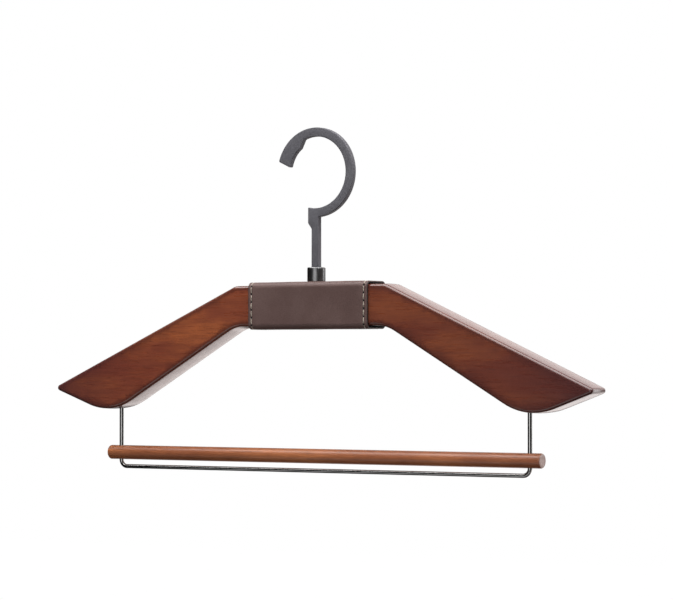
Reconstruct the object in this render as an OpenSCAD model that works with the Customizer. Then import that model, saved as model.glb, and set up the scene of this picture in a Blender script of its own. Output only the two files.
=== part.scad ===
// Wooden suit hanger: two shaped arms joined inside a leather sleeve, a flat cast hook that
// swivels in the centre block, and a round trouser bar that slides on a bent wire bail.
// Units are millimetres. +X runs along the arms, +Y towards the back, +Z up.
// The origin is where a clothes rail touches the inside of the hook, on the swivel axis.

/* [Hook] */
// Radius of the inside of the hook
hook_inner_r = 25; // [20:0.5:30]
// Width of the hook's flat section, seen from the front
hook_section_w = 6.3; // [4:0.1:8]
// Thickness of the hook plate
hook_t = 4.2; // [3:0.1:5]
// Extra width of the pad near the hook's tip
hook_pad_w = 3.9; // [2:0.1:5]
// Width of the flat stem under the hook
stem_w = 5.8; // [4.5:0.1:7]
// How far the square shoulder at the top of the stem sticks out
shoulder_w = 2.9; // [1:0.1:4]
// Height of the hook's centre above the top of the arms
hook_rise = 78.4; // [70:0.1:100]

/* [Collar and swivel] */
// Diameter of the round collar
collar_d = 12.7; // [12:0.1:18]
// Height of the collar
collar_h = 9.8; // [8:0.1:14]
// Diameter of the hook's round shank
shank_d = 6; // [5:0.1:6.5]
// Radial clearance between the shank and its bush
swivel_gap = 0.05; // [0.02:0.01:0.1]
// Diameter of the bush
bush_d = 9; // [8:0.1:10]
// Diameter of the washer under the centre block
washer_d = 12.4; // [11:0.1:13]
// Width across the flats of the lock nut
nut_af = 10; // [9:0.1:10.5]
// Height of the lock nut
nut_h = 5; // [4:0.1:5.5]

/* [Arms] */
// Distance between the sharp corners of the two tips
span = 448; // [420:1:480]
// Thickness of the arms, front to back
arm_t = 21; // [18:0.5:26]
// Height of the neck at the centre of the hanger
neck_h = 28.9; // [26:0.1:34]
// Distance of the top bend from the centre
bend_x = 61.8; // [58:0.1:80]
// Drop of the tips below the top of the neck
tip_drop = 72.8; // [60:0.1:90]
// Distance of the lowest corner from the centre
low_x = 171.2; // [160:0.1:180]
// Drop of the lowest corner below the top of the neck
low_drop = 92.2; // [85:0.1:105]
// Radius that rounds the lowest corner
low_r = 45; // [20:1:50]
// Radius in the corner between the neck and the lower edge
fork_r = 30; // [10:1:50]
// Radius of the rounded edges
edge_r = 2; // [1:0.1:3]

/* [Centre joint] */
// Length of the block between the arms
block_l = 48; // [44:1:56]
// Diameter of the dowels
dowel_d = 8; // [6:0.5:8]
// Length of the dowels
dowel_l = 30; // [24:1:36]

/* [Leather sleeve] */
// Length of the sleeve
sleeve_l = 98; // [90:1:110]
// Thickness of the leather
leather_t = 1.4; // [1:0.1:2]
// Thickness of the stiff lining
lining_t = 0.5; // [0.3:0.1:0.8]
// Distance of the stitches from the sleeve's ends
stitch_inset = 2.8; // [2:0.1:5]
// Distance from one stitch to the next
stitch_pitch = 5.4; // [4:0.1:7]

/* [Trouser bar] */
// Diameter of the wooden bar
bar_d = 10.2; // [8:0.1:12]
// Length of the bar
bar_l = 355.6; // [345:0.1:365]
// Height of the bar's centre below the top of the arms
bar_drop = 119.2; // [115:0.1:130]
// Diameter of the bail's wire
wire_d = 3; // [2.5:0.1:3.5]
// Distance between the bail's legs
bail_span = 336.4; // [325:0.1:340]
// Radius of the bail's corners, at the middle of the wire
bail_bend_r = 5; // [4:0.1:5]
// Radial clearance of the bar on the bail
bar_gap = 0.3; // [0.2:0.05:0.5]

/* [Hidden] */
$fn = 72;
eps = 0.01;

// Heights, counted from the rail seat
hook_outer_r = hook_inner_r + hook_section_w;
hook_z = -hook_inner_r;
neck_z = hook_z - hook_rise;
bar_z = neck_z - bar_drop;

// Hook outline, as angles around its centre: 0 points right, 90 points up
pad_r = hook_inner_r - hook_pad_w;
pad_start_a = 112;
pad_full_a = 126;
tip_outer_a = 164.5;
tip_inner_a = 169.5;
shoulder_top = 22;
shoulder_bottom = 35.3;
shoulder_end = 39.4;

// Sleeve: neck, clearance, lining, leather
sleeve_gap = 0.2;
lining_inset = 0.5;
lining_off = sleeve_gap + lining_t;
leather_off = lining_off + leather_t;
sleeve_top_z = neck_z + leather_off;

// Swivel stack
collar_lift = 0.25;
collar_z = sleeve_top_z + collar_lift;
collar_top_z = collar_z + collar_h;
collar_edge_r = 0.8;
socket_depth = 4;
flange_d = 13;
flange_t = 1.5;
pocket_d = 14;
pocket_top_z = neck_z - 20;
washer_t = 1.2;
nut_play = 0.1;
nut_z = pocket_top_z - washer_t - nut_play - nut_h;
shank_tail = 1.3;
shank_hole_gap = 0.6;

// Dowels: two on each side, one above the other
dowel_zs = [neck_z - 7.5, neck_z - neck_h + 7.5];
dowel_start_x = 9.5;
dowel_gap = 0.05;
dowel_end_gap = 0.5;

// Stitches: flat strips of thread that lie on the leather
stitch_l = 4.2;
stitch_w = 0.8;
stitch_t = 0.35;
seam_pitch = 6;

// Bail and bar
bail_run_z = bar_z - bar_d / 2 - bail_bend_r;
bail_top_z = neck_z - 62;
bail_hole_gap = 0.1;
bail_hole_extra = 2;
bar_chamfer = 0.8;

// Arm outline: the right arm's corners counter-clockwise, each [x, z, radius, steps]
tip_r = 2.5;
bend_r = 3;
arm_corners = [
    [block_l / 2, 0, 0, 1],
    [block_l / 2, -neck_h, 0, 1],
    [bend_x, -neck_h, fork_r, 8],
    [low_x, -low_drop, low_r, 12],
    [span / 2, -tip_drop, tip_r, 6],
    [bend_x, 0, bend_r, 3]
];
edge_steps = 3;

function unit(v) = v / norm(v);
function polar(r, a) = r * [cos(a), sin(a)];
function turned(v, a) = [v.x * cos(a) - v.y * sin(a), v.x * sin(a) + v.y * cos(a)];
function inward(a, b) = let (d = unit(b - a)) [-d.y, d.x];
function flat(lists) = [for (list = lists) for (item = list) item];
function corner(i) = let (c = arm_corners[(i + len(arm_corners)) % len(arm_corners)]) [c.x, c.y];

// Points of the arc that rounds corner b between a and c
function arc(a, b, c, r, steps) =
    let (
        u = unit(a - b),
        v = unit(c - b),
        half = acos(u * v) / 2,
        centre = b + unit(u + v) * r / sin(half),
        from = b + u * r / tan(half) - centre,
        to = b + v * r / tan(half) - centre,
        sweep = atan2(cross(from, to), from * to)
    )
    [for (i = [0:steps]) centre + turned(from, sweep * i / steps)];

// Corner i of the arm moved inwards by d
function inset_corner(i, d) =
    let (n1 = inward(corner(i - 1), corner(i)), n2 = inward(corner(i), corner(i + 1)))
    corner(i) + (n1 + n2) * d / (1 + n1 * n2);

// Radius of corner i when the outline moves inwards by d: convex corners tighten
function inset_radius(i, d) =
    let (convex = cross(corner(i) - corner(i - 1), corner(i + 1) - corner(i)) > 0)
    max(arm_corners[i][2] + (convex ? -d : d), 0.1);

// The whole arm outline moved inwards by d
function arm_outline(d) = flat([
    for (i = [0:len(arm_corners) - 1])
        arc(inset_corner(i - 1, d), inset_corner(i, d), inset_corner(i + 1, d),
            inset_radius(i, d), arm_corners[i][3])
]);

// Outline of a rectangle with round corners, centred
function rounded_rect(w, h, r, steps = 6) = flat([
    for (q = [0:3])
        let (sx = (q == 0 || q == 3) ? 1 : -1, sy = q < 2 ? 1 : -1)
        [for (i = [0:steps]) [sx * (w / 2 - r), sy * (h / 2 - r)] + polar(r, 90 * (q + i / steps))]
]);

// Profile in the XZ plane, as thick as t front to back and centred on Y = 0
module front_plate(t) {
    rotate([90, 0, 0])
        linear_extrude(t, center = true)
            children();
}

// Profile across the neck, extruded along X and centred on the hanger
module along_neck(l) {
    translate([0, 0, neck_z - neck_h / 2])
        rotate([90, 0, 90])
            linear_extrude(l, center = true)
                children();
}

// Tube around the neck, its inner and outer faces this far off the neck
module neck_tube(l, inner_off, outer_off) {
    along_neck(l)
        difference() {
            neck_section(outer_off);
            neck_section(inner_off);
        }
}

// Section of the neck, with its faces moved outwards by off
module neck_section(off) {
    polygon(rounded_rect(arm_t + 2 * off, neck_h + 2 * off, edge_r + off));
}

// Hole for the shank through the top of the sleeve
module shank_hole() {
    translate([0, 0, neck_z - eps])
        cylinder(d = shank_d + 2 * shank_hole_gap, h = leather_off + 1);
}

// Solid between the rings of points, with flat ends
module loft(rings) {
    n = len(rings[0]);
    last = len(rings) - 1;
    polyhedron(
        points = flat(rings),
        faces = concat(
            [[for (i = [0:n - 1]) i]],
            [for (k = [0:last - 1]) for (i = [0:n - 1])
                let (j = (i + 1) % n)
                [k * n + i, (k + 1) * n + i, (k + 1) * n + j, k * n + j]],
            [[for (i = [n - 1:-1:0]) last * n + i]]
        )
    );
}

// Ring of the arm's surface: p runs from 0 at the front face to 1 at the start of the flat edge
function arm_ring(p, side) =
    let (
        d = edge_r * (1 - sin(90 * p)),
        y = side * (arm_t / 2 - edge_r * (1 - cos(90 * p)))
    )
    [for (q = arm_outline(d)) [q.x, y, q.y + neck_z]];

module arm_blank() {
    steps = [for (k = [0:edge_steps]) k / edge_steps];
    loft(concat(
        [for (p = steps) arm_ring(p, -1)],
        [for (k = [edge_steps:-1:0]) arm_ring(steps[k], 1)]
    ));
}

module dowel_holes() {
    for (z = dowel_zs)
        translate([dowel_start_x - dowel_end_gap, 0, z])
            rotate([0, 90, 0])
                cylinder(d = dowel_d + 2 * dowel_gap, h = dowel_l + 2 * dowel_end_gap);
}

module right_arm_wood() {
    difference() {
        arm_blank();
        dowel_holes();
        translate([bail_span / 2, 0, bail_top_z + bail_hole_extra - 60])
            cylinder(d = wire_d + 2 * bail_hole_gap, h = 60);
    }
}

module dowel_pair() {
    for (z = dowel_zs)
        translate([dowel_start_x, 0, z])
            rotate([0, 90, 0])
                cylinder(d = dowel_d, h = dowel_l);
}

// One row of stitches around the sleeve, on its four flat sides
module stitch_row(x) {
    side_h = neck_h / 2 + leather_off;
    side_t = arm_t / 2 + leather_off;
    rows = 6;
    columns = 4;
    for (i = [0:rows - 1], side = [-1, 1])
        translate([x, side * (side_t + stitch_t / 2),
                   neck_z - neck_h / 2 + (i - (rows - 1) / 2) * stitch_pitch])
            cube([stitch_w, stitch_t, stitch_l], center = true);
    for (i = [0:columns - 1], side = [-1, 1])
        translate([x, (i - (columns - 1) / 2) * stitch_pitch,
                   neck_z - neck_h / 2 + side * (side_h + stitch_t / 2)])
            cube([stitch_w, stitch_l, stitch_t], center = true);
}

// Flat C of the hook: ring, pad near the tip, and the open mouth
module hook_ring() {
    difference() {
        union() {
            difference() {
                circle(hook_outer_r);
                circle(hook_inner_r);
            }
            intersection() {
                difference() {
                    circle(hook_inner_r + 1);
                    circle(pad_r);
                }
                polygon([
                    polar(hook_inner_r * 1.1, pad_start_a - 3), polar(hook_inner_r, pad_start_a),
                    polar(pad_r, pad_full_a), polar(pad_r * 0.8, pad_full_a + 8),
                    polar(hook_outer_r * 2, 180), polar(hook_outer_r * 2, 135)
                ]);
            }
        }
        hook_mouth();
    }
}

// The part of the ring that is left out, from the tip round to the bottom
module hook_mouth() {
    tip_outer = polar(hook_outer_r, tip_outer_a);
    tip_inner = polar(pad_r, tip_inner_a);
    along = tip_outer - tip_inner;
    polygon([
        tip_inner - along * 0.5, tip_outer + along, polar(hook_outer_r * 3, 200),
        polar(hook_outer_r * 3, 250), [0, -hook_outer_r * 2], [0, -hook_inner_r / 2]
    ]);
}

// Stem with its square shoulder on the left, cut to the inside of the hook
module hook_stem() {
    half = stem_w / 2;
    edge = -half - shoulder_w;
    foot = collar_top_z - socket_depth - hook_z;
    difference() {
        polygon([
            [half, -shoulder_top], [edge, -shoulder_top], [edge, -shoulder_bottom],
            [-half, -shoulder_end], [-half, foot], [half, foot]
        ]);
        circle(hook_inner_r);
    }
}

module hook() {
    color("#55565a") {
        translate([0, 0, hook_z])
            front_plate(hook_t)
                union() {
                    hook_ring();
                    hook_stem();
                }
        translate([0, 0, nut_z - shank_tail])
            cylinder(d = shank_d, h = collar_top_z - socket_depth - nut_z + shank_tail);
    }
}

module collar() {
    r = collar_d / 2;
    color("#1c1c1e")
        difference() {
            translate([0, 0, collar_z])
                rotate_extrude()
                    polygon(concat(
                        [[0, 0], [r, 0]],
                        [for (i = [0:4])
                            [r - collar_edge_r, collar_h - collar_edge_r] + polar(collar_edge_r, 22.5 * i)],
                        [[0, collar_h]]
                    ));
            translate([0, 0, collar_z - 1])
                cylinder(d = shank_d, h = collar_h);
            translate([0, 0, collar_top_z])
                cube([stem_w, hook_t, 2 * socket_depth], center = true);
        }
}

module lock_nut() {
    color("#a9acb0")
        translate([0, 0, nut_z])
            difference() {
                cylinder(d = nut_af / cos(30), h = nut_h, $fn = 6);
                translate([0, 0, -1])
                    cylinder(d = shank_d, h = nut_h + 2);
            }
}

module swivel_bush() {
    color("#b08d4f")
        difference() {
            union() {
                translate([0, 0, pocket_top_z])
                    cylinder(d = bush_d, h = neck_z - pocket_top_z - flange_t + eps);
                translate([0, 0, neck_z - flange_t])
                    cylinder(d = flange_d, h = flange_t);
            }
            translate([0, 0, pocket_top_z - 1])
                cylinder(d = shank_d + 2 * swivel_gap, h = neck_z - pocket_top_z + 2);
        }
}

module thrust_washer() {
    color("#a9acb0")
        translate([0, 0, pocket_top_z - washer_t])
            difference() {
                cylinder(d = washer_d, h = washer_t);
                translate([0, 0, -1])
                    cylinder(d = shank_d + 0.4, h = washer_t + 2);
            }
}

module centre_block() {
    color("#c9a273")
        difference() {
            along_neck(block_l)
                neck_section(0);
            translate([0, 0, pocket_top_z - 1])
                cylinder(d = bush_d, h = neck_h);
            translate([0, 0, neck_z - flange_t])
                cylinder(d = flange_d, h = flange_t + 1);
            translate([0, 0, neck_z - neck_h - 1])
                cylinder(d = pocket_d, h = pocket_top_z - neck_z + neck_h + 1);
            dowel_holes();
            mirror([1, 0, 0])
                dowel_holes();
        }
}

module left_arm() {
    color("#6f3f2a")
        mirror([1, 0, 0])
            right_arm_wood();
}

module right_arm() {
    color("#6f3f2a")
        right_arm_wood();
}

module left_dowels() {
    color("#d8b98a")
        mirror([1, 0, 0])
            dowel_pair();
}

module right_dowels() {
    color("#d8b98a")
        dowel_pair();
}

module sleeve_lining() {
    color("#191716")
        difference() {
            neck_tube(sleeve_l - 2 * lining_inset, sleeve_gap, lining_off);
            shank_hole();
        }
}

module leather_sleeve() {
    color("#5d4c47")
        difference() {
            neck_tube(sleeve_l, lining_off, leather_off);
            shank_hole();
        }
}

module left_stitches() {
    color("#a89c8e")
        stitch_row(-sleeve_l / 2 + stitch_inset);
}

module right_stitches() {
    color("#a89c8e")
        stitch_row(sleeve_l / 2 - stitch_inset);
}

// Stitches that close the sleeve, along the middle of its underside
module seam_stitches() {
    count = floor((sleeve_l - 4 * stitch_inset) / seam_pitch);
    color("#a89c8e")
        for (i = [0:count - 1])
            translate([(i - (count - 1) / 2) * seam_pitch, 0,
                       neck_z - neck_h - leather_off - stitch_t / 2])
                cube([stitch_l, stitch_w, stitch_t], center = true);
}

// U of wire: two legs glued into the arms, two quarter bends and the run between them
module bail() {
    leg_x = bail_span / 2;
    run_x = leg_x - bail_bend_r;
    color("#4b4a4a") {
        for (side = [-1, 1])
            translate([side * leg_x, 0, bail_run_z + bail_bend_r])
                cylinder(d = wire_d, h = bail_top_z - bail_run_z - bail_bend_r);
        for (side = [0, 1])
            mirror([side, 0, 0])
                translate([run_x, 0, bail_run_z + bail_bend_r])
                    rotate([90, 0, 0])
                        rotate([0, 0, -90])
                            rotate_extrude(angle = 90)
                                translate([bail_bend_r, 0])
                                    circle(d = wire_d);
        translate([-run_x, 0, bail_run_z])
            rotate([0, 90, 0])
                cylinder(d = wire_d, h = 2 * run_x);
    }
}

module trouser_bar() {
    half = bar_l / 2;
    color("#7d4a30")
        difference() {
            translate([0, 0, bar_z])
                rotate([0, 90, 0])
                    rotate_extrude()
                        polygon([
                            [0, -half], [bar_d / 2 - bar_chamfer, -half],
                            [bar_d / 2, bar_chamfer - half], [bar_d / 2, half - bar_chamfer],
                            [bar_d / 2 - bar_chamfer, half], [0, half]
                        ]);
            for (side = [-1, 1])
                translate([side * bail_span / 2, 0, bar_z])
                    cylinder(d = wire_d + 2 * bar_gap, h = bar_d + 2, center = true);
        }
}

hook();
collar();
lock_nut();
swivel_bush();
thrust_washer();
centre_block();
left_arm();
right_arm();
left_dowels();
right_dowels();
sleeve_lining();
leather_sleeve();
left_stitches();
right_stitches();
seam_stitches();
bail();
trouser_bar();
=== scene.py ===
"""Looks for the wooden suit hanger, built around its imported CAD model. Units are metres."""
import math
import random

import bmesh
import bpy
from mathutils import Matrix, Vector
from mathutils.geometry import delaunay_2d_cdt


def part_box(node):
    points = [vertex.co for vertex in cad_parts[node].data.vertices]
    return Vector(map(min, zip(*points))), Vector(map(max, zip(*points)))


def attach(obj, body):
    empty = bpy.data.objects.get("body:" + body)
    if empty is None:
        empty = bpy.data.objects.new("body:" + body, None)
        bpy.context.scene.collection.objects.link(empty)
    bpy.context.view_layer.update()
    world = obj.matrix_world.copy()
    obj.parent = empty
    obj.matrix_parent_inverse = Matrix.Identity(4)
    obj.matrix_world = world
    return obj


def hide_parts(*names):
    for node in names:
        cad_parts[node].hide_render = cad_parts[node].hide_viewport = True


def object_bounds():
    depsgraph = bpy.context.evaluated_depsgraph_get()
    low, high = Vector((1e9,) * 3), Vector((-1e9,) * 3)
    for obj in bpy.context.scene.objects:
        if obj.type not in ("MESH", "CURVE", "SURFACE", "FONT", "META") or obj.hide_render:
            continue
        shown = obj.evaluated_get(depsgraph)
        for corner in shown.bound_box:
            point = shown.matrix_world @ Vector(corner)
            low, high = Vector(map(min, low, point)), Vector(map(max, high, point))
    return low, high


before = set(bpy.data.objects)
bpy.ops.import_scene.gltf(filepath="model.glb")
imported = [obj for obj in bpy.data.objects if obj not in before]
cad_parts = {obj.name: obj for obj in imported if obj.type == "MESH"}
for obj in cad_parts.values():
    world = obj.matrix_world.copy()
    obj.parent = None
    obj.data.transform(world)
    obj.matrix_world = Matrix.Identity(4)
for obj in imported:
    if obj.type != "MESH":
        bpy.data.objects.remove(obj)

cad_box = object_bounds()
MIDDLE = (Vector(cad_box[0]) + Vector(cad_box[1])) / 2
MM = 0.001
random.seed(7)

# ---------------------------------------------------------------- places taken from the frame

arm_low, arm_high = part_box("right_arm")
block_low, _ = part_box("centre_block")
sleeve_low, sleeve_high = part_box("leather_sleeve")
_, lining_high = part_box("sleeve_lining")
hook_low, hook_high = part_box("hook")
collar_low, collar_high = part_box("collar")
bail_low, bail_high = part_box("bail")
bar_low, bar_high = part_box("trouser_bar")

NECK_TOP = arm_high.z
NECK_BOTTOM = block_low.z
ARM_HALF_T = arm_high.y
WIRE_R = bail_high.y
LEG_X = bail_high.x - WIRE_R
RUN_Z = bail_low.z + WIRE_R
BAR_R = bar_high.y
BAR_Z = (bar_low.z + bar_high.z) / 2

# ---------------------------------------------------------------- the hanger's own dimensions

# Arm: corners, with heights counted from the neck's top, and the radii that round them
ARM_BEND_X = 61.8 * MM
ARM_TIP = (224 * MM, -72.8 * MM)
ARM_LOW = (171.2 * MM, -92.2 * MM)
ARM_BEND_R = 9 * MM
ARM_TIP_R = 2.5 * MM
ARM_LOW_R = 45 * MM
ARM_FORK_R = 30 * MM
ARM_EDGE_R = 2.0 * MM
ARM_CROWN = 0.4 * MM

# Hook, around the middle of its ring: radii, angles in degrees, and the stem and its shoulder
RING_IN = 25 * MM
RING_OUT = 31.3 * MM
PAD_IN = 21.1 * MM
PAD_START = 112
PAD_FULL = 126
TIP_OUTER = 164.5
TIP_INNER = 169.5
STEM_HALF = 2.9 * MM
SHOULDER_X = -5.8 * MM
SHOULDER_BOTTOM = -35.3 * MM
SHOULDER_END = -39.4 * MM
SOCKET = 4 * MM
HOOK_HALF_T = 2.1 * MM
HOOK_EDGE_R = 0.55 * MM

# Sleeve and its stitches
NECK_EDGE_R = 2 * MM
STITCH_INSET = 2.8 * MM
STITCH_PITCH = 5.45 * MM
THREAD_R = 0.33 * MM

# Bail and the holes around its legs
BAIL_BEND_R = 5 * MM
ARM_HOLE_R = 1.65 * MM
ARM_HOLE_DEPTH = 27 * MM
BAR_HOLE_R = 1.8 * MM
BAR_END_R = 1.3 * MM

ARC_STEP = math.radians(4)
SHARP_ANGLE = math.radians(38)


# ---------------------------------------------------------------- outlines and meshes

def arc(a, b, c, r):
    """Points that round corner b, between a and c, with radius r."""
    u = (a - b).normalized()
    v = (c - b).normalized()
    half = math.acos(max(-1, min(1, u.dot(v)))) / 2
    centre = b + (u + v).normalized() * (r / math.sin(half))
    start = b + u * (r / math.tan(half)) - centre
    end = b + v * (r / math.tan(half)) - centre
    sweep = math.atan2(start.x * end.y - start.y * end.x, start.dot(end))
    steps = max(3, math.ceil(abs(sweep) / ARC_STEP))
    first = math.atan2(start.y, start.x)
    return [centre + polar(r, first + sweep * i / steps) for i in range(steps + 1)]


def polar(r, angle):
    """Point at radius r and an angle in radians."""
    return Vector((r * math.cos(angle), r * math.sin(angle)))


def rounded(corners):
    """Closed outline through corners, each (x, y, radius); a radius of 0 keeps the point."""
    points = [Vector(c[:2]) for c in corners]
    outline = []
    for i, corner in enumerate(corners):
        if corner[2] == 0:
            outline.append(points[i])
        else:
            outline += arc(points[i - 1], points[i], points[(i + 1) % len(points)], corner[2])
    return outline


def outward(outline):
    """Unit normal at each point of a counter-clockwise outline."""
    count = len(outline)
    normals = []
    for i in range(count):
        before = (outline[i] - outline[i - 1]).normalized()
        after = (outline[(i + 1) % count] - outline[i]).normalized()
        along = (before + after).normalized()
        normals.append(Vector((along.y, -along.x)))
    return normals


def distance_to(outline, p):
    """Distance from point p to the closed outline."""
    best = math.inf
    for i in range(len(outline)):
        a = outline[i - 1]
        ab = outline[i] - a
        t = max(0, min(1, (p - a).dot(ab) / ab.length_squared))
        best = min(best, (p - a - ab * t).length)
    return best


def mesh_object(name, verts, faces):
    """New object in the scene, smooth except along its sharp edges."""
    mesh = bpy.data.meshes.new(name)
    mesh.from_pydata([tuple(v) for v in verts], [], faces)
    bm = bmesh.new()
    bm.from_mesh(mesh)
    bmesh.ops.recalc_face_normals(bm, faces=bm.faces)
    bm.to_mesh(mesh)
    bm.free()
    mesh.shade_smooth()
    mesh.set_sharp_from_angle(angle=SHARP_ANGLE)
    obj = bpy.data.objects.new(name, mesh)
    bpy.context.scene.collection.objects.link(obj)
    return obj


def set_attribute(obj, name, values):
    """Keeps one number per vertex, which the materials read by name."""
    attribute = obj.data.attributes.new(name, "FLOAT", "POINT")
    attribute.data.foreach_set("value", values)


def cap_triangles(boundary, pitch):
    """Triangles over the outline, with a grid of inner points: (inner points, triangles)."""
    inner = []
    xs = [p.x for p in boundary]
    ys = [p.y for p in boundary]
    for i in range(1, int((max(xs) - min(xs)) / pitch)):
        for j in range(1, int((max(ys) - min(ys)) / pitch)):
            p = Vector((min(xs) + i * pitch, min(ys) + j * pitch))
            if inside(boundary, p) and distance_to(boundary, p) > pitch * 0.45:
                inner.append(p)
    count = len(boundary)
    edges = [(i, (i + 1) % count) for i in range(count)]
    inside_only = 1
    tolerance = 1e-9
    _, _, faces, source, _, _ = delaunay_2d_cdt(boundary + inner, edges, [], inside_only, tolerance)
    return inner, [[source[k][0] for k in face] for face in faces]


def inside(outline, p):
    """Whether point p is inside the closed outline."""
    found = False
    for i in range(len(outline)):
        a = outline[i - 1]
        b = outline[i]
        if (a.y > p.y) != (b.y > p.y) and p.x < a.x + (p.y - a.y) / (b.y - a.y) * (b.x - a.x):
            found = not found
    return found


def slab(name, outline, half_t, edge_r, crown=0.0, edge_steps=6, pitch=6 * MM):
    """Plate in the XZ plane with round edges, its sides bulging by crown.

    Attribute rim is the distance from the edge."""
    normals = outward(outline)
    count = len(outline)
    profile = []
    for k in range(edge_steps + 1):
        angle = math.pi / 2 * k / edge_steps
        profile.append((half_t - edge_r * (1 - math.cos(angle)), edge_r * (1 - math.sin(angle))))
    flat = half_t - edge_r
    flat_steps = 4
    profile += [(flat * (1 - k / flat_steps), 0.0) for k in range(1, flat_steps + 1)]
    profile = [(y, inset + crown * (y / half_t) ** 2) for y, inset in profile]
    profile = [(-y, inset) for y, inset in profile] + list(reversed(profile))[1:]
    rings = []
    for y, inset in profile:
        rings.append([(p.x - n.x * inset, y, p.y - n.y * inset) for p, n in zip(outline, normals)])
    verts = [v for ring in rings for v in ring]
    rim = [0.0] * len(verts)
    faces = []
    for k in range(len(rings) - 1):
        for i in range(count):
            j = (i + 1) % count
            faces.append((k * count + i, k * count + j, (k + 1) * count + j, (k + 1) * count + i))
    boundary = [Vector((v[0], v[2])) for v in rings[0]]
    inner, triangles = cap_triangles(boundary, pitch)
    depths = [distance_to(outline, p) for p in inner]
    for first, y in ((0, -half_t), ((len(rings) - 1) * count, half_t)):
        start = len(verts)
        verts += [(p.x, y, p.y) for p in inner]
        rim += depths
        for face in triangles:
            faces.append([first + k if k < count else start + k - count for k in face])
    obj = mesh_object(name, verts, faces)
    set_attribute(obj, "rim", rim)
    return obj


def lathe(name, profile, axis, sides=72):
    """Solid of revolution. profile is (distance along the axis, radius), from end to end."""
    verts = []
    for along, r in profile:
        for i in range(sides):
            a = 2 * math.pi * i / sides
            ring = {"X": (along, r * math.cos(a), r * math.sin(a)),
                    "Z": (r * math.cos(a), r * math.sin(a), along)}
            verts.append(ring[axis])
    faces = []
    for k in range(len(profile) - 1):
        for i in range(sides):
            j = (i + 1) % sides
            faces.append((k * sides + i, k * sides + j, (k + 1) * sides + j, (k + 1) * sides + i))
    faces.append(list(range(sides)))
    faces.append([(len(profile) - 1) * sides + i for i in range(sides)])
    return mesh_object(name, verts, faces)


def tube_mesh(path, normals, radii, sides):
    """Vertices, faces and (along, around) of a tube along path, whose section starts at each normal."""
    verts = []
    coords = []
    travelled = 0
    for k, p in enumerate(path):
        ahead = path[min(k + 1, len(path) - 1)] - path[max(k - 1, 0)]
        tangent = ahead.normalized()
        n = (normals[k] - tangent * normals[k].dot(tangent)).normalized()
        b = tangent.cross(n)
        if k:
            travelled += (p - path[k - 1]).length
        for i in range(sides):
            a = 2 * math.pi * i / sides
            verts.append(p + (n * math.cos(a) + b * math.sin(a)) * radii[k])
            coords.append((travelled, i / sides))
    faces = []
    for k in range(len(path) - 1):
        for i in range(sides):
            j = (i + 1) % sides
            faces.append((k * sides + i, k * sides + j, (k + 1) * sides + j, (k + 1) * sides + i))
    faces.append(list(range(sides)))
    faces.append([(len(path) - 1) * sides + i for i in range(sides)])
    return verts, faces, coords


def cut_at(obj, tool, place):
    """Moves tool to place, subtracts it from obj, and removes it."""
    tool.location = place
    bpy.context.view_layer.update()
    modifier = obj.modifiers.new("cut", "BOOLEAN")
    modifier.operation = "DIFFERENCE"
    modifier.solver = "EXACT"
    modifier.object = tool
    depsgraph = bpy.context.evaluated_depsgraph_get()
    mesh = bpy.data.meshes.new_from_object(obj.evaluated_get(depsgraph))
    obj.modifiers.clear()
    obj.data = mesh
    bpy.data.objects.remove(tool)


def finish_piece(obj, body, slot, material, *nodes):
    """Gives obj its material and body, and hides the CAD nodes that it stands for; slot is not used."""
    obj.data.materials.clear()
    obj.data.materials.append(material)
    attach(obj, body)
    if nodes:
        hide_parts(*nodes)


# ---------------------------------------------------------------- shader building blocks

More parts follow.
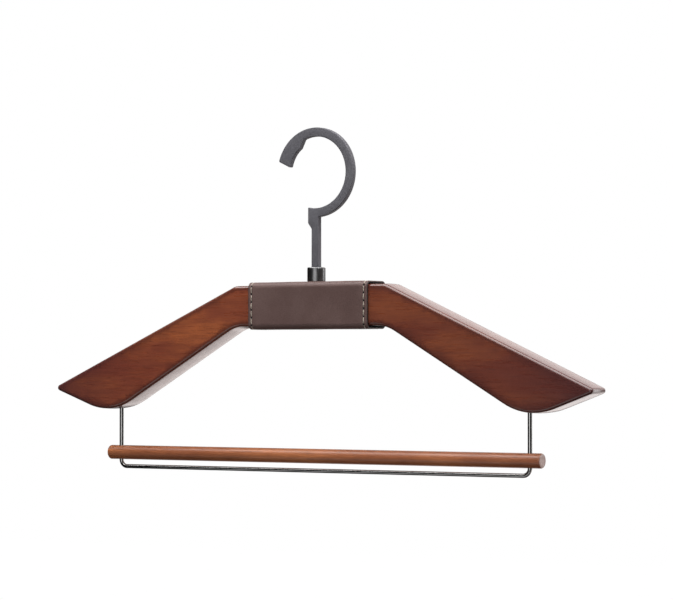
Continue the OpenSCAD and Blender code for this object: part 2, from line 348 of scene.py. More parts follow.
class Shader:
    """A material with a Principled BSDF, and short calls for the nodes that feed it."""

    def __init__(self, name):
        self.material = bpy.data.materials.new(name)
        self.material.use_nodes = True
        self.tree = self.material.node_tree
        self.bsdf = self.tree.nodes["Principled BSDF"]

    def node(self, kind, **inputs):
        """New node, with its inputs set to values or linked to sockets."""
        made = self.tree.nodes.new("ShaderNode" + kind)
        for key, value in inputs.items():
            self.feed(made.inputs[key.replace("_", " ")], value)
        return made

    def feed(self, socket, value):
        if isinstance(value, bpy.types.NodeSocket):
            self.tree.links.new(value, socket)
        else:
            socket.default_value = value

    def place(self, scale=(1, 1, 1)):
        """Position in the hanger's own frame, in metres, stretched by scale."""
        coords = self.tree.nodes.new("ShaderNodeTexCoord").outputs["Object"]
        return self.node("Mapping", Vector=coords, Scale=scale).outputs["Vector"]

    def noise(self, vector, scale, detail=4, roughness=0.55, distortion=0):
        made = self.node("TexNoise", Vector=vector, Scale=scale, Detail=detail,
                         Roughness=roughness, Distortion=distortion)
        return made.outputs["Fac"]

    def cells(self, vector, scale):
        """Soft distance to the nearest of many scattered points."""
        made = self.node("TexVoronoi", Vector=vector, Scale=scale)
        made.feature = "SMOOTH_F1"
        return made.outputs["Distance"]

    def levels(self, value, low, high, to_low=0.0, to_high=1.0):
        """value from low..high to to_low..to_high, smooth and clamped."""
        made = self.tree.nodes.new("ShaderNodeMapRange")
        made.interpolation_type = "SMOOTHSTEP"
        for socket, v in zip(("Value", "From Min", "From Max", "To Min", "To Max"),
                             (value, low, high, to_low, to_high)):
            self.feed(made.inputs[socket], v)
        return made.outputs["Result"]

    def calc(self, operation, a, b=0.0):
        made = self.tree.nodes.new("ShaderNodeMath")
        made.operation = operation
        self.feed(made.inputs[0], a)
        self.feed(made.inputs[1], b)
        return made.outputs["Value"]

    def mix(self, factor, a, b):
        """Colour a at factor 0 and colour b at factor 1."""
        made = self.tree.nodes.new("ShaderNodeMix")
        made.data_type = "RGBA"
        for socket, v in zip((made.inputs[0], made.inputs[6], made.inputs[7]), (factor, a, b)):
            self.feed(socket, (*v, 1) if isinstance(v, tuple) else v)
        return made.outputs[2]

    def attribute(self, name):
        made = self.tree.nodes.new("ShaderNodeAttribute")
        made.attribute_name = name
        return made.outputs["Fac"]

    def bump(self, height, depth, strength=1.0):
        """Bump whose full height is depth metres."""
        return self.node("Bump", Height=height, Distance=depth, Strength=strength).outputs["Normal"]

    def set(self, **inputs):
        """Feeds the Principled BSDF. A colour of three numbers gets an alpha of 1."""
        for key, value in inputs.items():
            value = (*value, 1) if isinstance(value, tuple) and len(value) == 3 else value
            self.feed(self.bsdf.inputs[key.replace("_", " ")], value)


# ---------------------------------------------------------------- materials

def stained_wood(name, light, dark):
    """Red-brown stained and lacquered wood with its grain along X. Returns its Shader and colour."""
    s = Shader(name)
    clouds = s.noise(s.place((9, 24, 24)), 1.6, 4, 0.55, 0.3)
    rings = s.noise(s.place((16, 300, 300)), 2.0, 4, 0.6, 0.15)
    fibres = s.noise(s.place((60, 1100, 1100)), 1.3, 3, 0.6)
    pores = s.noise(s.place((95, 1000, 1000)), 1.0, 2, 0.5)
    pore_mask = s.levels(pores, 0.62, 0.74)
    deep = tuple(c * 0.6 for c in dark)
    colour = s.mix(s.levels(clouds, 0.3, 0.7), dark, light)
    colour = s.mix(s.levels(rings, 0.42, 0.72, 0, 0.4), colour, deep)
    colour = s.mix(s.levels(fibres, 0.35, 0.7, 0, 0.35), colour, deep)
    colour = s.mix(s.calc("MULTIPLY", pore_mask, 0.4), colour, tuple(c * 0.35 for c in dark))
    relief = s.calc("SUBTRACT", s.calc("MULTIPLY", fibres, 0.5), pore_mask)
    s.set(Normal=s.bump(relief, 0.006 * MM, strength=0.3), IOR=1.5)
    return s, colour


def arm_wood():
    """The arms' wood: burnished at the rim and the tips. A vertex attribute darkens the arm on +X a
    little, as painted shade.
    """
    s, colour = stained_wood("arm_wood_stain", (0.435, 0.124, 0.046), (0.235, 0.057, 0.033))
    burnt_and_shade = (0.08, 0.022, 0.018)
    drift = s.noise(s.place(), 45, 3)
    reach = s.levels(drift, 0.3, 0.7, 3 * MM, 13 * MM)
    colour = s.mix(s.levels(s.attribute("rim"), 0.0, reach, 0.7, 0.0), colour, burnt_and_shade)
    along = s.node("SeparateXYZ", Vector=s.place()).outputs["X"]
    near_tip = s.levels(s.calc("ABSOLUTE", along), 0.14, 0.225, 0.0, 0.75)
    colour = s.mix(near_tip, colour, (0.08, 0.023, 0.026))
    # Painted shade: the arm on +X is darker
    colour = s.mix(s.calc("MULTIPLY", s.attribute("shaded_arm"), 0.4), colour, burnt_and_shade)
    rough = s.levels(s.noise(s.place((20, 200, 200)), 2, 3), 0.3, 0.7, 0.25, 0.36)
    s.set(Base_Color=colour, Roughness=rough, Coat_Weight=0.6, Coat_Roughness=0.11)
    s.set(Coat_IOR=1.6, Coat_Normal=s.bump(drift, 0.05 * MM, strength=0.2))
    return s.material


def bar_wood():
    """The bar's wood, with pale end grain."""
    s, colour = stained_wood("bar_wood_stain", (0.5, 0.175, 0.07), (0.32, 0.103, 0.046))
    along = s.calc("ABSOLUTE", s.node("SeparateXYZ", Vector=s.place()).outputs["X"])
    growth = s.noise(s.place((1, 900, 500)), 1, 4, 0.6, 0.4)
    end = s.mix(s.levels(growth, 0.35, 0.65), (0.5, 0.32, 0.27), (0.62, 0.44, 0.4))
    colour = s.mix(s.levels(along, bar_high.x - 0.6 * MM, bar_high.x - 0.1 * MM), colour, end)
    rough = s.levels(s.noise(s.place((20, 200, 200)), 2, 3), 0.3, 0.7, 0.3, 0.42)
    s.set(Base_Color=colour, Roughness=rough, Coat_Weight=0.1, Coat_Roughness=0.2)
    return s.material


def raw_wood(name, light, dark):
    """Unfinished pale wood, its grain along X."""
    s = Shader(name)
    bands = s.noise(s.place((3, 160, 160)), 2.4, 5, 0.6, 0.3)
    fibres = s.noise(s.place((40, 1200, 1200)), 1.2, 3)
    colour = s.mix(s.levels(bands, 0.35, 0.65), dark, light)
    colour = s.mix(s.levels(fibres, 0.4, 0.75, 0, 0.4), colour, tuple(c * 0.6 for c in dark))
    s.set(Base_Color=colour, Roughness=s.levels(fibres, 0.3, 0.7, 0.55, 0.75))
    s.set(Normal=s.bump(fibres, 0.06 * MM))
    return s.material


def grained_leather():
    """Smooth brown leather. Attributes: worn at creases and ends, hole at the needle holes,
    which are painted near-black as painted shade, and cut at the painted black cut edge."""
    s = Shader("smooth_leather")
    pebbles = s.cells(s.place(), 1500)
    creases = s.noise(s.place(), 420, 5, 0.6, 0.6)
    cloud = s.noise(s.place(), 35, 4)
    colour = s.mix(s.levels(cloud, 0.3, 0.7), (0.122, 0.074, 0.067), (0.15, 0.094, 0.085))
    colour = s.mix(s.levels(pebbles, 0.15, 0.55, 0.3, 0.0), colour, (0.075, 0.044, 0.04))
    colour = s.mix(s.levels(s.attribute("worn"), 0.0, 1.0, 0.0, 0.6), colour, (0.06, 0.043, 0.04))
    # Painted shade: near-black in the needle holes
    colour = s.mix(s.levels(s.attribute("hole"), 0.12, 0.45), colour, (0.006, 0.005, 0.005))
    colour = s.mix(s.levels(s.attribute("cut"), 0.3, 0.7), colour, (0.004, 0.002, 0.002))
    height = s.calc("ADD", s.calc("MULTIPLY", pebbles, -1.0), s.calc("MULTIPLY", creases, 0.7))
    rough = s.levels(s.attribute("cut"), 0.3, 0.7, s.levels(cloud, 0.3, 0.7, 0.44, 0.54), 0.85)
    s.set(Base_Color=colour, Roughness=rough, Specular_IOR_Level=0.32)
    s.set(Normal=s.bump(height, 0.07 * MM, strength=0.55))
    return s.material


def cast_metal():
    """Matt gunmetal coat over a casting, worn lighter in places along the edges, partly as painted
    highlight.
    Rim is 0 at every vertex of the hook, so these places fall all over it.
    """
    s = Shader("gunmetal_coat")
    peel = s.noise(s.place(), 1100, 4, 0.55)
    cloud = s.noise(s.place(), 60, 3)
    # Wear and painted highlight: lighter in patches where rim is small, which on the hook is all over
    rubbed_and_highlight = s.levels(s.attribute("rim"), 0.0, 0.35 * MM, 1.0, 0.0)
    rubbed_and_highlight = s.calc("MULTIPLY", rubbed_and_highlight, s.levels(s.noise(s.place(), 300, 4), 0.45, 0.7))
    colour = s.mix(s.levels(cloud, 0.3, 0.7), (0.136, 0.133, 0.148), (0.15, 0.147, 0.163))
    colour = s.mix(s.levels(peel, 0.35, 0.65, 0.0, 0.2), colour, (0.09, 0.088, 0.098))
    colour = s.mix(s.calc("MULTIPLY", rubbed_and_highlight, 0.1), colour, (0.3, 0.3, 0.31))
    rough = s.levels(peel, 0.3, 0.7, 0.45, 0.6)
    s.set(Base_Color=colour, Metallic=0.05, Roughness=rough, Specular_IOR_Level=0.08)
    s.set(Normal=s.bump(peel, 0.06 * MM, strength=0.6))
    return s.material


def black_nickel():
    """Glossy black plating with faint polishing marks around Z."""
    s = Shader("black_nickel")
    cloud = s.noise(s.place(), 260, 4)
    marks = s.noise(s.place((40, 40, 2400)), 1, 3)
    colour = s.mix(s.levels(cloud, 0.3, 0.7), (0.2, 0.2, 0.203), (0.25, 0.248, 0.252))
    s.set(Base_Color=colour, Metallic=1.0, Roughness=s.levels(marks, 0.3, 0.7, 0.28, 0.36))
    s.set(Normal=s.bump(marks, 0.001 * MM, strength=0.1))
    return s.material


def polished_wire():
    """Dark nickel wire, polished, with faint smears and handling marks."""
    s = Shader("dark_nickel_wire")
    smears = s.noise(s.place(), 260, 4, 0.6, 0.5)
    cloud = s.noise(s.place(), 90, 3)
    colour = s.mix(s.levels(cloud, 0.3, 0.7), (0.37, 0.366, 0.36), (0.44, 0.436, 0.43))
    s.set(Base_Color=colour, Metallic=1.0, Roughness=s.levels(smears, 0.3, 0.7, 0.12, 0.16))
    s.set(Normal=s.bump(smears, 0.001 * MM, strength=0.1))
    return s.material


def turned_metal(name, light, dark, roughness):
    """Bare metal with lathe marks around Z."""
    s = Shader(name)
    marks = s.noise(s.place((60, 60, 5200)), 1, 3)
    stains = s.noise(s.place(), 240, 4)
    colour = s.mix(s.levels(stains, 0.3, 0.7), dark, light)
    s.set(Base_Color=colour, Metallic=1.0)
    s.set(Roughness=s.levels(marks, 0.3, 0.7, roughness, roughness + 0.15))
    s.set(Normal=s.bump(marks, 0.015 * MM, strength=0.5))
    return s.material


def waxed_thread():
    """Twisted thread, darker in the grooves of its twist as painted shade: along and around are the
    tube's own coordinates.
    """
    s = Shader("waxed_thread")
    turns = s.calc("ADD", s.calc("MULTIPLY", s.attribute("along"), 1500), s.attribute("around"))
    twist = s.calc("SINE", s.calc("MULTIPLY", turns, 2 * math.pi))
    fuzz = s.noise(s.place(), 3000, 3)
    # Painted shade: darker in the grooves between the strands
    colour = s.mix(s.levels(twist, -1, 0.2), (0.24, 0.2, 0.155), (0.54, 0.47, 0.385))
    colour = s.mix(s.levels(fuzz, 0.4, 0.8, 0, 0.3), colour, (0.62, 0.56, 0.48))
    s.set(Base_Color=colour, Roughness=0.6, Sheen_Weight=0.2)
    s.set(Normal=s.bump(twist, 0.05 * MM, strength=0.8))
    return s.material


def black_fibre():
    """The lining under the leather."""
    s = Shader("black_fibre")
    specks = s.noise(s.place((300, 1500, 1500)), 1, 4)
    colour = s.mix(s.levels(specks, 0.4, 0.7), (0.006, 0.005, 0.005), (0.02, 0.017, 0.016))
    s.set(Base_Color=colour, Roughness=s.levels(specks, 0.3, 0.7, 0.7, 0.9))
    s.set(Normal=s.bump(specks, 0.04 * MM))
    return s.material


ARM_WOOD = arm_wood()
BAR_WOOD = bar_wood()
LEATHER = grained_leather()
HOOK_METAL = cast_metal()
BLACK_NICKEL = black_nickel()
WIRE = polished_wire()
THREAD = waxed_thread()
FIBRE = black_fibre()
BLOCK_WOOD = raw_wood("block_wood", (0.6, 0.42, 0.24), (0.45, 0.29, 0.15))
DOWEL_WOOD = raw_wood("dowel_wood", (0.66, 0.49, 0.3), (0.54, 0.37, 0.2))
BRASS = turned_metal("turned_brass", (0.68, 0.5, 0.22), (0.5, 0.34, 0.13), 0.25)
ZINC = turned_metal("zinc_plate", (0.62, 0.63, 0.65), (0.45, 0.46, 0.48), 0.3)


# ---------------------------------------------------------------- arms

def make_arm(node, side):
    """One arm, with the hole for the bail's leg. side is 1 for the arm on +X and -1 on -X."""
    lift = NECK_TOP
    corners = [
        (arm_low.x, lift, 0),
        (arm_low.x, NECK_BOTTOM, 0),
        (ARM_BEND_X, NECK_BOTTOM, ARM_FORK_R),
        (ARM_LOW[0], ARM_LOW[1] + lift, ARM_LOW_R),
        (ARM_TIP[0], ARM_TIP[1] + lift, ARM_TIP_R),
        (ARM_BEND_X, lift, ARM_BEND_R),
    ]
    outline = rounded(corners)
    if side < 0:
        outline = [Vector((-p.x, p.y)) for p in reversed(outline)]
    obj = slab(node + "_wood", outline, ARM_HALF_T, ARM_EDGE_R, ARM_CROWN, 10, pitch=3.5 * MM)
    clear_below = 30 * MM
    mouth_z = ARM_LOW[1] + lift + 5 * MM
    drill = lathe("drill", [(-clear_below, ARM_HOLE_R), (ARM_HOLE_DEPTH, ARM_HOLE_R)], "Z", 32)
    cut_at(obj, drill, (side * LEG_X, 0, mouth_z))
    # Marks the arm on +X for its painted shade
    set_attribute(obj, "shaded_arm", [max(side, 0)] * len(obj.data.vertices))
    finish_piece(obj, "hanger_body", "arm_wood", ARM_WOOD, node)


make_arm("right_arm", 1)
make_arm("left_arm", -1)


# ---------------------------------------------------------------- hook and collar

def ring_arc(r, start, end):
    """Points at radius r from angle start to end, in degrees, each without rounding."""
    steps = max(2, math.ceil(abs(end - start) / 3))
    found = []
    for i in range(steps + 1):
        p = polar(r, math.radians(start + (end - start) * i / steps))
        found.append((p.x, p.y, 0))
    return found


def corner_at(r, angle, radius):
    """Corner at radius r and an angle in degrees, rounded by radius."""
    p = polar(r, math.radians(angle))
    return (p.x, p.y, radius)


def make_hook():
    """Flat casting: an open ring with a wider tip, and the stem, whose foot is in the collar."""
    centre_z = -RING_IN
    foot = collar_high.z - SOCKET - centre_z
    # Angles where the stem meets the ring's outside and the shoulder meets its inside. The arcs
    # stop a few degrees short of each rounded corner.
    join = math.degrees(math.asin(STEM_HALF / RING_OUT)) - 90
    seat = -math.degrees(math.acos(SHOULDER_X / RING_IN))
    corners = [
        (-STEM_HALF, foot, 0),
        (STEM_HALF, foot, 0),
        corner_at(RING_OUT, join, 0.7 * MM),
        *ring_arc(RING_OUT, join + 3, TIP_OUTER - 3),
        corner_at(RING_OUT, TIP_OUTER, 1.2 * MM),
        corner_at(PAD_IN, TIP_INNER, 0.9 * MM),
        *ring_arc(PAD_IN, TIP_INNER - 4, PAD_FULL + 5),
        corner_at(PAD_IN, PAD_FULL, 1.4 * MM),
        corner_at(RING_IN, PAD_START, 1.0 * MM),
        *ring_arc(RING_IN, PAD_START - 4, seat + 4),
        corner_at(RING_IN, seat, 0.6 * MM),
        (SHOULDER_X, SHOULDER_BOTTOM, 0.8 * MM),
        (-STEM_HALF, SHOULDER_END, 1.5 * MM),
    ]
    outline = [p + Vector((0, centre_z)) for p in rounded(corners)]
    obj = slab("hook_casting", outline, HOOK_HALF_T, HOOK_EDGE_R, edge_steps=4, pitch=50 * MM)
    finish_piece(obj, "hook_body", "hook_metal", HOOK_METAL, "hook")


def make_shank():
    """Round end of the hook, hidden in the hanger."""
    r = hook_high.y
    top = collar_high.z - SOCKET
    chamfer = 0.6 * MM
    profile = [(hook_low.z, r - chamfer), (hook_low.z + chamfer, r), (top, r)]
    obj = lathe("hook_shank", profile, "Z", 48)
    finish_piece(obj, "hook_body", "hook_metal", ZINC)


def make_collar():
    r = collar_high.x
    soft = 0.8 * MM
    lip = 0.25 * MM
    profile = [(collar_low.z, r - lip), (collar_low.z + lip, r)]
    for i in range(9):
        a = math.pi / 2 * i / 8
        profile.append((collar_high.z - soft + soft * math.sin(a), r - soft + soft * math.cos(a)))
    profile.append((collar_high.z, r * 0.5))
    obj = lathe("collar_shell", profile, "Z", 96)
    finish_piece(obj, "hook_body", "collar_black", BLACK_NICKEL, "collar")


make_hook()
make_shank()
make_collar()


# ---------------------------------------------------------------- leather sleeve and stitches

SLEEVE_HALF = sleeve_high.x
SLEEVE_A = sleeve_high.y
SLEEVE_B = (sleeve_high.z - sleeve_low.z) / 2
SLEEVE_MID = (sleeve_high.z + sleeve_low.z) / 2
LEATHER_T = sleeve_high.y - lining_high.y
SLEEVE_R = NECK_EDGE_R + SLEEVE_A - ARM_HALF_T


def sleeve_loop():
    """Closed loop around the sleeve: a function from length to (point, normal), and its length.

    Length 0 is at the foot of the flat of the front face, and the loop goes up it first."""
    a = SLEEVE_A - SLEEVE_R
    b = SLEEVE_B - SLEEVE_R
    quarter = math.pi / 2 * SLEEVE_R
    lengths = [2 * b, quarter, 2 * a, quarter, 2 * b, quarter, 2 * a, quarter]
    corners = [(-a, b), (a, b), (a, -b), (-a, -b)]

    def at(s):
        s %= sum(lengths)
        for k, length in enumerate(lengths):
            if s <= length:
                break
            s -= length
        start_angle = math.pi - (k // 2) * math.pi / 2
        if k % 2:
            angle = start_angle - (s / quarter) * math.pi / 2
            corner = corners[k // 2]
            n = Vector((math.cos(angle), math.sin(angle)))
            p = Vector(corner) + n * SLEEVE_R
        else:
            n = Vector((math.cos(start_angle), math.sin(start_angle)))
            start = Vector(corners[k // 2 - 1]) + n * SLEEVE_R
            along = Vector((n.y, -n.x))
            p = start + along * s
        return p, n

    return at, sum(lengths)


loop_at, LOOP_LENGTH = sleeve_loop()
STITCH_COUNT = round(LOOP_LENGTH / STITCH_PITCH)
PITCH = LOOP_LENGTH / STITCH_COUNT
# A stitch is centred on the middle of the front face
FIRST_HOLE = SLEEVE_B - SLEEVE_R - PITCH / 2
STITCH_X = SLEEVE_HALF - STITCH_INSET


def on_sleeve(x, s, off):
    """Point at x and at length s around the sleeve, off above it, and the normal there."""
    p, n = loop_at(s)
    q = p + n * off
    return Vector((x, q.x, q.y + SLEEVE_MID)), Vector((0, n.x, n.y))


def bell(value, width):
    """1 at 0, falling smoothly to nothing at about twice the width."""
    return math.exp(-(value / width) ** 2)


def sleeve_relief(x, s):
    """Height of the leather above the plain tube at x and s, its wear, and how near a hole is."""
    from_end = SLEEVE_HALF - abs(x)
    to_row = abs(x) - STITCH_X
    nearest = (s - FIRST_HOLE) / PITCH
    to_hole = (nearest - round(nearest)) * PITCH
    groove = 0.2 * MM * bell(to_row, 0.7 * MM)
    near_hole = bell(math.hypot(to_row, to_hole), 0.6 * MM)
    hole = 0.35 * MM * near_hole
    soft = 0.5 * MM
    turn = max(0.0, 1 - from_end / soft)
    roll = soft * (1 - math.sqrt(max(0.0, 1 - turn * turn)))
    wave = 0.05 * MM * math.sin(x / (7 * MM)) * math.sin(s / (9 * MM) + 1)
    worn = max(0.5 * bell(to_row, 0.6 * MM), bell(from_end, 0.8 * MM))
    return wave - groove - hole - roll, worn, near_hole


def sleeve_stations():
    """Positions along the sleeve, close together near its ends and stitch rows."""
    half = []
    x = 0.0
    while x < SLEEVE_HALF - 0.02 * MM:
        half.append(x)
        near = SLEEVE_HALF - x < 5.5 * MM
        x += 0.22 * MM if near else 2.5 * MM
    half.append(SLEEVE_HALF)
    return [-v for v in reversed(half[1:])] + half


def make_sleeve():
    around = 480
    stations = sleeve_stations()
    verts = []
    worn = []
    holes = []
    cuts = []
    for x in stations:
        for i in range(around):
            s = LOOP_LENGTH * i / around
            off, wear, near_hole = sleeve_relief(x, s)
            verts.append(on_sleeve(x, s, off)[0])
            worn.append(wear)
            holes.append(near_hole)
            cuts.append(0.0)
    # The end faces, black beyond their outer rim, and the inside
    end_face = ((-0.75 * MM, 0.0), (-0.85 * MM, 1.0), (-LEATHER_T, 1.0))
    inner_rings = [(SLEEVE_HALF, off, black) for off, black in end_face]
    inner_rings.append((0.0, -LEATHER_T, 1.0))
    inner_rings += [(-SLEEVE_HALF, off, black) for off, black in reversed(end_face)]
    for x, off, black in inner_rings:
        for i in range(around):
            verts.append(on_sleeve(x, LOOP_LENGTH * i / around, off)[0])
            worn.append(1.0)
            holes.append(0.0)
            cuts.append(black)
    rows = len(stations) + len(inner_rings)
    faces = []
    for k in range(rows):
        for i in range(around):
            j = (i + 1) % around
            m = (k + 1) % rows
            faces.append((k * around + i, k * around + j, m * around + j, m * around + i))
    obj = mesh_object("leather_wrap", verts, faces)
    set_attribute(obj, "worn", worn)
    set_attribute(obj, "hole", holes)
    set_attribute(obj, "cut", cuts)
    finish_piece(obj, "hanger_body", "sleeve_leather", LEATHER, "leather_sleeve")


def threads(name, node, lines):
    """One object of short threads. Each line is a list of (point, normal)."""
    verts = []
    faces = []
    along = []
    around = []
    for line in lines:
        path = [p for p, _ in line]
        normals = [n for _, n in line]
        last = len(path) - 1
        taper = 0.55
        radii = [THREAD_R * (1 - taper * abs(2 * k / last - 1) ** 4) for k in range(last + 1)]
        v, f, coords = tube_mesh(path, normals, radii, 10)
        first = len(verts)
        verts += v
        faces += [[first + k for k in face] for face in f]
        along += [c[0] for c in coords]
        around += [c[1] for c in coords]
    obj = mesh_object(name, verts, faces)
    set_attribute(obj, "along", along)
    set_attribute(obj, "around", around)
    finish_piece(obj, "hanger_body", "thread", THREAD, node)


def stitch_height(t, top):
    """Height of a stitch's middle above the leather at t, from 0 at one hole to 1 at the next."""
    sunk = 0.4 * MM
    return -sunk + (sunk + top) * math.sin(math.pi * t) ** 0.6


def stitch_row(name, node, x):
    """Stitches all round the sleeve at x. They lie deeper on its top and underside."""
    lines = []
    steps = 14
    gap = 0.13
    for i in range(STITCH_COUNT):
        lean = random.uniform(-0.12, 0.12) * MM
        line = []
        for k in range(steps + 1):
            t = k / steps
            s = FIRST_HOLE + (i + gap + (1 - 2 * gap) * t) * PITCH
            _, normal = on_sleeve(x, s, 0)
            top = (0.08 - 0.3 * abs(normal.z)) * MM
            line.append(on_sleeve(x + lean * (2 * t - 1), s, stitch_height(t, top)))
        lines.append(line)
    threads(name, node, lines)


def seam_row():
    """The closing seam, along the sleeve's lower rear corner.

    The CAD seam lies 12 mm further forward, along the middle of the underside."""
    low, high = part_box("seam_stitches")
    count = 14
    cad_fill = 0.7
    fill = 0.78
    pitch = (high.x - low.x) / (count - 1 + cad_fill)
    corner_s = LOOP_LENGTH / 2 + SLEEVE_B + SLEEVE_A - 2 * SLEEVE_R + math.pi / 2 * SLEEVE_R
    steps = 12
    lines = []
    for i in range(count):
        line = []
        for k in range(steps + 1):
            t = k / steps
            x = (i - (count - 1) / 2 + fill * (t - 0.5)) * pitch
            line.append(on_sleeve(x, corner_s, stitch_height(t, -0.08 * MM)))
        lines.append(line)
    threads("seam_thread", "seam_stitches", lines)


make_sleeve()
stitch_row("right_thread", "right_stitches", STITCH_X)
stitch_row("left_thread", "left_stitches", -STITCH_X)
seam_row()


# ---------------------------------------------------------------- bail and trouser bar

def make_bail():
    centre = LEG_X - BAIL_BEND_R
    bend_z = RUN_Z + BAIL_BEND_R
    path = [Vector((-LEG_X, 0, bail_high.z))]
    for side, first, last in ((-1, math.pi, math.pi * 1.5), (1, math.pi * 1.5, math.pi * 2)):
        for k in range(17):
            a = first + (last - first) * k / 16
            path.append(Vector((side * centre + BAIL_BEND_R * math.cos(a), 0,
                                bend_z + BAIL_BEND_R * math.sin(a))))
    path.append(Vector((LEG_X, 0, bail_high.z)))
    verts, faces, _ = tube_mesh(path, [Vector((0, 1, 0))] * len(path), [WIRE_R] * len(path), 28)
    obj = mesh_object("bail_wire", verts, faces)
    finish_piece(obj, "hanger_body", "bail_wire", WIRE, "bail")


def make_bar():
    half = bar_high.x
    right_end = []
    for k in range(9):
        a = math.pi / 2 * k / 8
        right_end.append((half - BAR_END_R * (1 - math.sin(a)), BAR_R - BAR_END_R * (1 - math.cos(a))))
    right_end.append((half, (BAR_R - BAR_END_R) * 0.5))
    left_end = [(-along, r) for along, r in reversed(right_end)]
    obj = lathe("bar_dowel", left_end + right_end, "X", 72)
    obj.data.transform(Matrix.Translation((0, 0, BAR_Z)))
    reach = 2 * BAR_R
    for side in (-1, 1):
        drill = lathe("drill", [(-reach, BAR_HOLE_R), (reach, BAR_HOLE_R)], "Z", 32)
        cut_at(obj, drill, (side * LEG_X, 0, BAR_Z))
    finish_piece(obj, "bar_body", "bar_wood", BAR_WOOD, "trouser_bar")


make_bail()
make_bar()


# ---------------------------------------------------------------- hidden pieces keep their CAD shape

for node, material in {
    "sleeve_lining": FIBRE,
    "centre_block": BLOCK_WOOD,
    "left_dowels": DOWEL_WOOD,
    "right_dowels": DOWEL_WOOD,
    "swivel_bush": BRASS,
    "thrust_washer": ZINC,
    "lock_nut": ZINC,
}.items():
    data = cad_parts[node].data
    data.materials.clear()
    data.materials.append(material)


# ---------------------------------------------------------------- floor, light and camera

def make_floor():
    """Pale floor far below. It is plain white to look at and lets the studio's light through."""
    mesh = bpy.data.meshes.new("floor")
    half = 30.0
    drop = 2.5
    z = cad_box[0][2] - drop
    mesh.from_pydata([(-half, -half, z), (half, -half, z), (half, half, z), (-half, half, z)], [],
                     [(0, 1, 2, 3)])
    floor = bpy.data.objects.new("floor", mesh)
    bpy.context.scene.collection.objects.link(floor)
    s = Shader("pale_floor")
    tone = s.noise(s.place(), 3, 2)
    colour = s.mix(s.levels(tone, 0.3, 0.7), (0.98, 0.98, 0.98), (1.0, 1.0, 1.0))
    white = s.node("Emission", Color=colour, Strength=1.02)
    clear = s.node("BsdfTransparent")
    ray = s.node("LightPath")
    mix = s.node("MixShader")
    s.feed(mix.inputs[0], ray.outputs["Is Camera Ray"])
    s.feed(mix.inputs[1], clear.outputs[0])
    s.feed(mix.inputs[2], white.outputs[0])
    s.tree.links.new(mix.outputs[0], s.tree.nodes["Material Output"].inputs["Surface"])
    mesh.materials.append(s.material)


def soft_box(name, azimuth, elevation, distance, width, height, radiance):
    """Area light that faces the hanger. Azimuth 0 stands in front, at -Y, and 90 on +X."""
    az = math.radians(azimuth)
    el = math.radians(elevation)
    light = bpy.data.lights.new(name, "AREA")
    light.shape = "RECTANGLE"
    light.size = width
    light.size_y = height
    light.energy = radiance * math.pi * width * height
    obj = bpy.data.objects.new(name, light)
    toward = Vector((math.sin(az) * math.cos(el), -math.cos(az) * math.cos(el), math.sin(el)))
    obj.location = MIDDLE + toward * distance
    obj.rotation_euler = toward.to_track_quat("Z", "Y").to_euler()
    bpy.context.scene.collection.objects.link(obj)


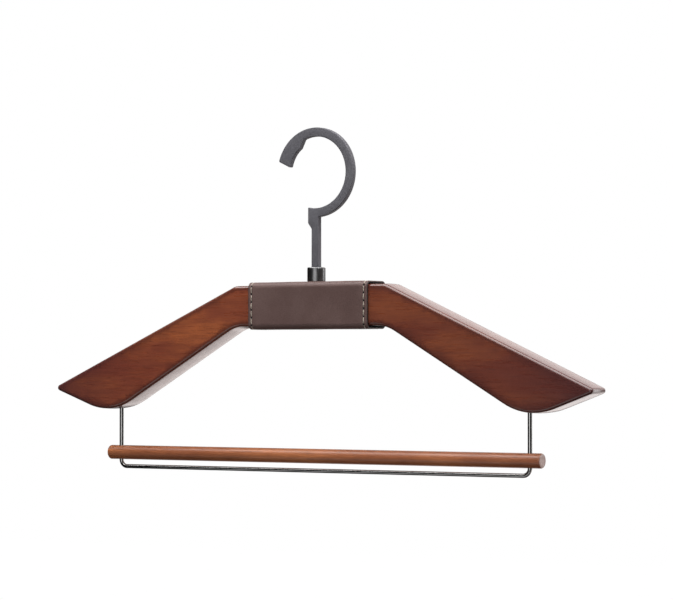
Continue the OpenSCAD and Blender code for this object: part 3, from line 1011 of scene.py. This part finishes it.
def make_world():
    """Studio surroundings: white behind, above and below a dark horizon, and dim in front and left.

    To the camera they are plain white."""
    world = bpy.data.worlds.new("studio")
    bpy.context.scene.world = world
    world.use_nodes = True
    tree = world.node_tree
    tree.nodes.clear()
    link = tree.links.new

    def made(kind):
        return tree.nodes.new("ShaderNode" + kind)

    def spread(source, low, high, to_low, to_high, kind="LINEAR"):
        made_range = made("MapRange")
        made_range.interpolation_type = kind
        for name, value in (("From Min", low), ("From Max", high), ("To Min", to_low),
                            ("To Max", to_high)):
            made_range.inputs[name].default_value = value
        link(source, made_range.inputs["Value"])
        return made_range.outputs["Result"]

    split = made("SeparateXYZ")
    link(made("TexCoord").outputs["Generated"], split.inputs["Vector"])
    behind = spread(split.outputs["Y"], 0.2, 0.7, 0.1, 1.7, "SMOOTHSTEP")
    beside = spread(split.outputs["X"], -0.53, -0.43, 0.15, 1.0)
    height = spread(split.outputs["Z"], -1.0, 1.0, 0.0, 1.0)
    strength = made("Math")
    strength.operation = "MULTIPLY"
    link(behind, strength.inputs[0])
    link(beside, strength.inputs[1])
    bands = made("ValToRGB")
    bands.color_ramp.interpolation = "EASE"
    stops = ((0.0, 0.1), (0.14, 0.15), (0.22, 0.9), (0.35, 1.0), (0.42, 0.1),
             (0.58, 0.1), (0.64, 0.8), (0.72, 0.7), (0.82, 0.4))
    while len(bands.color_ramp.elements) < len(stops):
        bands.color_ramp.elements.new(0.5)
    for element, (position, grey) in zip(bands.color_ramp.elements, stops):
        element.position = position
        element.color = (grey, 0.925 * grey, 0.905 * grey, 1)
    link(height, bands.inputs[0])
    lit = made("Background")
    link(bands.outputs["Color"], lit.inputs["Color"])
    link(strength.outputs["Value"], lit.inputs["Strength"])
    seen = made("Background")
    seen.inputs["Color"].default_value = (1, 1, 1, 1)
    mix = made("MixShader")
    link(made("LightPath").outputs["Is Camera Ray"], mix.inputs[0])
    link(lit.outputs[0], mix.inputs[1])
    link(seen.outputs[0], mix.inputs[2])
    link(mix.outputs[0], made("OutputWorld").inputs["Surface"])


def make_camera():
    """Long lens a little below the hanger's middle and round to +X, tilted slightly up."""
    azimuth = math.radians(32.2)
    tilt_up = math.radians(1.27)
    distance = 1.942
    aside = 0.014
    data = bpy.data.cameras.new("camera")
    data.sensor_width = 36
    data.lens = 149.19
    camera = bpy.data.objects.new("camera", data)
    bpy.context.scene.collection.objects.link(camera)
    right = Vector((math.cos(azimuth), math.sin(azimuth), 0))
    ahead = Vector((-math.sin(azimuth) * math.cos(tilt_up), math.cos(azimuth) * math.cos(tilt_up),
                    math.sin(tilt_up)))
    target = MIDDLE + right * aside
    camera.location = target - ahead * distance
    camera.rotation_euler = (math.pi / 2 + tilt_up, 0, azimuth)
    bpy.context.scene.camera = camera


make_floor()
soft_box("overhead", azimuth=0, elevation=76, distance=1.25, width=2.6, height=1.0, radiance=4.6)
soft_box("key", azimuth=-18, elevation=45, distance=1.6, width=0.8, height=0.6, radiance=2.6)
soft_box("front_strip", azimuth=13, elevation=3, distance=1.6, width=1.1, height=1.0, radiance=1.5)
soft_box("bounce", azimuth=0, elevation=-40, distance=1.6, width=2.4, height=0.8, radiance=0.7)
soft_box("right_side", azimuth=85, elevation=48, distance=1.6, width=0.6, height=0.9, radiance=4.2)
soft_box("right_rear_strip", azimuth=142, elevation=2, distance=1.6, width=0.3, height=1.0, radiance=3)
make_world()
make_camera()
bpy.context.scene.view_settings.view_transform = "Standard"
